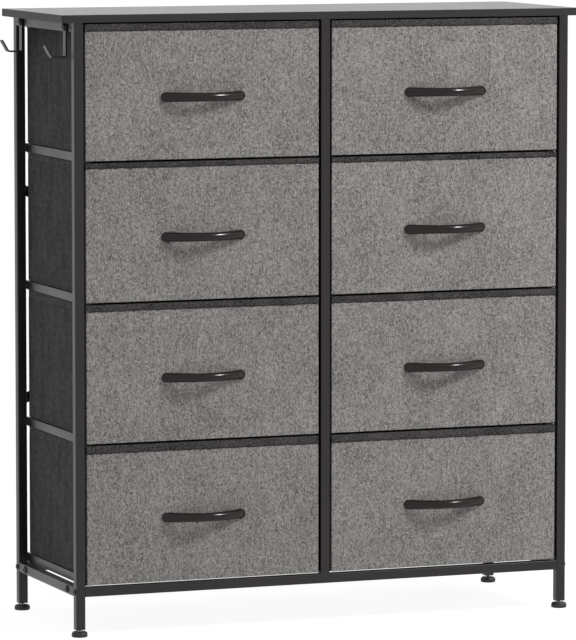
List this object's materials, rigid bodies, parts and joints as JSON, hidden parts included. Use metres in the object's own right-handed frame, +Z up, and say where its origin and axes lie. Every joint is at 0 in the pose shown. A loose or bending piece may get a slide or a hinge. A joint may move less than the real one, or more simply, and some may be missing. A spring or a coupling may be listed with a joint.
{
  "type": "fabric drawer dresser",
  "caption": "Tall dresser: black square-tube steel frame under a thin dark board, linen-faced fabric drawers with bow handles in two columns, levelling feet, side hooks and a braced open back.",
  "frame": {"origin": "middle of the base: floor level, at the centre of the overall box with the hooks, handles and back braces in it", "axes": "+Z up; the drawer fronts face -Y; +X to the right of someone facing the drawers"},
  "size_m": [0.8894, 0.333, 0.97],
  "materials": {
    "dark_board": "dark laminate with a soft sheen, dark edge band",
    "black_steel": "black powder coat, semi-gloss",
    "black_screws": "black button-head screws",
    "foot_plastic": "black plastic glide on a threaded stem",
    "dark_felt": "dark charcoal non-woven cloth over stiff board",
    "grey_linen": "mid-grey linen-look weave with a dark hem strip along the top",
    "handle_plastic": "black plastic, satin gloss"
  },
  "bodies": {
    "frame": {"top_board": "dark_board", "post_front_left": "black_steel", "post_front_centre": "black_steel", "post_front_right": "black_steel", "post_rear_left": "black_steel", "post_rear_centre": "black_steel", "post_rear_right": "black_steel", "top_rail_left": "black_steel", "top_rail_centre": "black_steel", "top_rail_right": "black_steel", "bottom_rail_front": "black_steel", "bottom_rail_rear": "black_steel", "bottom_rail_left": "black_steel", "bottom_rail_right": "black_steel", "drawer_rail_left_1": "black_steel", "drawer_rail_left_2": "black_steel", "drawer_rail_left_3": "black_steel", "drawer_rail_left_4": "black_steel", "drawer_rail_centre_1": "black_steel", "drawer_rail_centre_2": "black_steel", "drawer_rail_centre_3": "black_steel", "drawer_rail_centre_4": "black_steel", "drawer_rail_right_1": "black_steel", "drawer_rail_right_2": "black_steel", "drawer_rail_right_3": "black_steel", "drawer_rail_right_4": "black_steel", "back_brace_inner": "black_steel", "back_brace_outer": "black_steel", "hook_front": "black_steel", "hook_rear": "black_steel", "hook_screw_front": "black_screws", "hook_screw_rear": "black_screws"},
    "drawer_left_1": {"drawer_left_1_box": "dark_felt", "drawer_left_1_front": "grey_linen", "drawer_left_1_handle": "handle_plastic"},
    "drawer_left_2": {"drawer_left_2_box": "dark_felt", "drawer_left_2_front": "grey_linen", "drawer_left_2_handle": "handle_plastic"},
    "drawer_left_3": {"drawer_left_3_box": "dark_felt", "drawer_left_3_front": "grey_linen", "drawer_left_3_handle": "handle_plastic"},
    "drawer_left_4": {"drawer_left_4_box": "dark_felt", "drawer_left_4_front": "grey_linen", "drawer_left_4_handle": "handle_plastic"},
    "drawer_right_1": {"drawer_right_1_box": "dark_felt", "drawer_right_1_front": "grey_linen", "drawer_right_1_handle": "handle_plastic"},
    "drawer_right_2": {"drawer_right_2_box": "dark_felt", "drawer_right_2_front": "grey_linen", "drawer_right_2_handle": "handle_plastic"},
    "drawer_right_3": {"drawer_right_3_box": "dark_felt", "drawer_right_3_front": "grey_linen", "drawer_right_3_handle": "handle_plastic"},
    "drawer_right_4": {"drawer_right_4_box": "dark_felt", "drawer_right_4_front": "grey_linen", "drawer_right_4_handle": "handle_plastic"},
    "glide_front_left": {"foot_front_left": "foot_plastic"},
    "glide_front_right": {"foot_front_right": "foot_plastic"},
    "glide_rear_left": {"foot_rear_left": "foot_plastic"},
    "glide_rear_right": {"foot_rear_right": "foot_plastic"}
  },
  "joints": [
    {"name": "drawer_left_1_slide", "type": "slide", "parent": "frame", "child": "drawer_left_1", "axis": [0, -1, 0], "range_m": [0, 0.22]},
    {"name": "drawer_left_2_slide", "type": "slide", "parent": "frame", "child": "drawer_left_2", "axis": [0, -1, 0], "range_m": [0, 0.22]},
    {"name": "drawer_left_3_slide", "type": "slide", "parent": "frame", "child": "drawer_left_3", "axis": [0, -1, 0], "range_m": [0, 0.22]},
    {"name": "drawer_left_4_slide", "type": "slide", "parent": "frame", "child": "drawer_left_4", "axis": [0, -1, 0], "range_m": [0, 0.22]},
    {"name": "drawer_right_1_slide", "type": "slide", "parent": "frame", "child": "drawer_right_1", "axis": [0, -1, 0], "range_m": [0, 0.22]},
    {"name": "drawer_right_2_slide", "type": "slide", "parent": "frame", "child": "drawer_right_2", "axis": [0, -1, 0], "range_m": [0, 0.22]},
    {"name": "drawer_right_3_slide", "type": "slide", "parent": "frame", "child": "drawer_right_3", "axis": [0, -1, 0], "range_m": [0, 0.22]},
    {"name": "drawer_right_4_slide", "type": "slide", "parent": "frame", "child": "drawer_right_4", "axis": [0, -1, 0], "range_m": [0, 0.22]},
    {"name": "glide_front_left_travel", "type": "slide", "parent": "frame", "child": "glide_front_left", "axis": [0, 0, -1], "range_m": [0, 0.008]},
    {"name": "glide_front_right_travel", "type": "slide", "parent": "frame", "child": "glide_front_right", "axis": [0, 0, -1], "range_m": [0, 0.008]},
    {"name": "glide_rear_left_travel", "type": "slide", "parent": "frame", "child": "glide_rear_left", "axis": [0, 0, -1], "range_m": [0, 0.008]},
    {"name": "glide_rear_right_travel", "type": "slide", "parent": "frame", "child": "glide_rear_right", "axis": [0, 0, -1], "range_m": [0, 0.008]}
  ]
}
